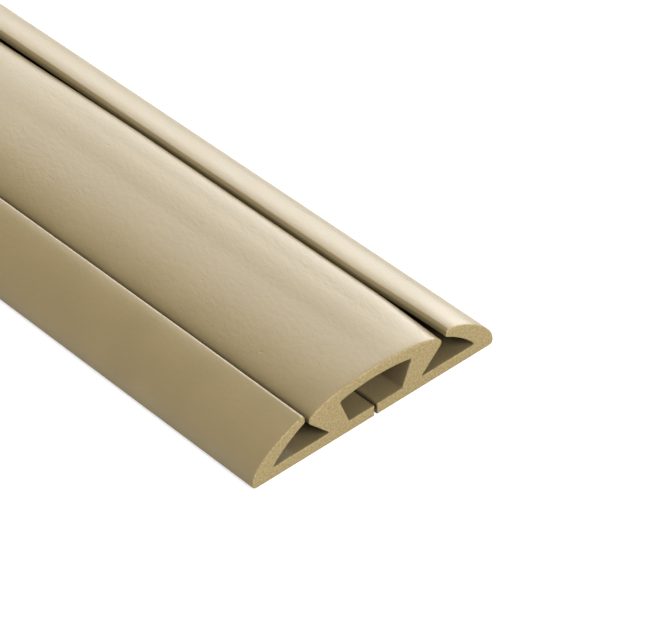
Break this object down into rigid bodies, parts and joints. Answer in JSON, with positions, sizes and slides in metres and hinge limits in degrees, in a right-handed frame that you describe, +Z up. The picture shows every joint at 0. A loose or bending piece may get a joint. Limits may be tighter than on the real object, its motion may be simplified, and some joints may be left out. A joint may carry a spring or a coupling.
{
  "type": "floor cord cover",
  "caption": "Low domed vinyl floor strip that hides cords, with a channel under its hump and one under the flap on each side.",
  "frame": {"origin": "centre of the underside, on the floor, halfway along the strip", "axes": "+X across the strip, +Y along it away from the end the picture shows, +Z up from the floor"},
  "size_m": [0.065, 1.524, 0.0126],
  "materials": {
    "vinyl": "satin beige flexible vinyl, cut ends plain and slightly grainy"
  },
  "bodies": {
    "root": {"cord_cover_strip": "vinyl"}
  },
  "joints": []
}
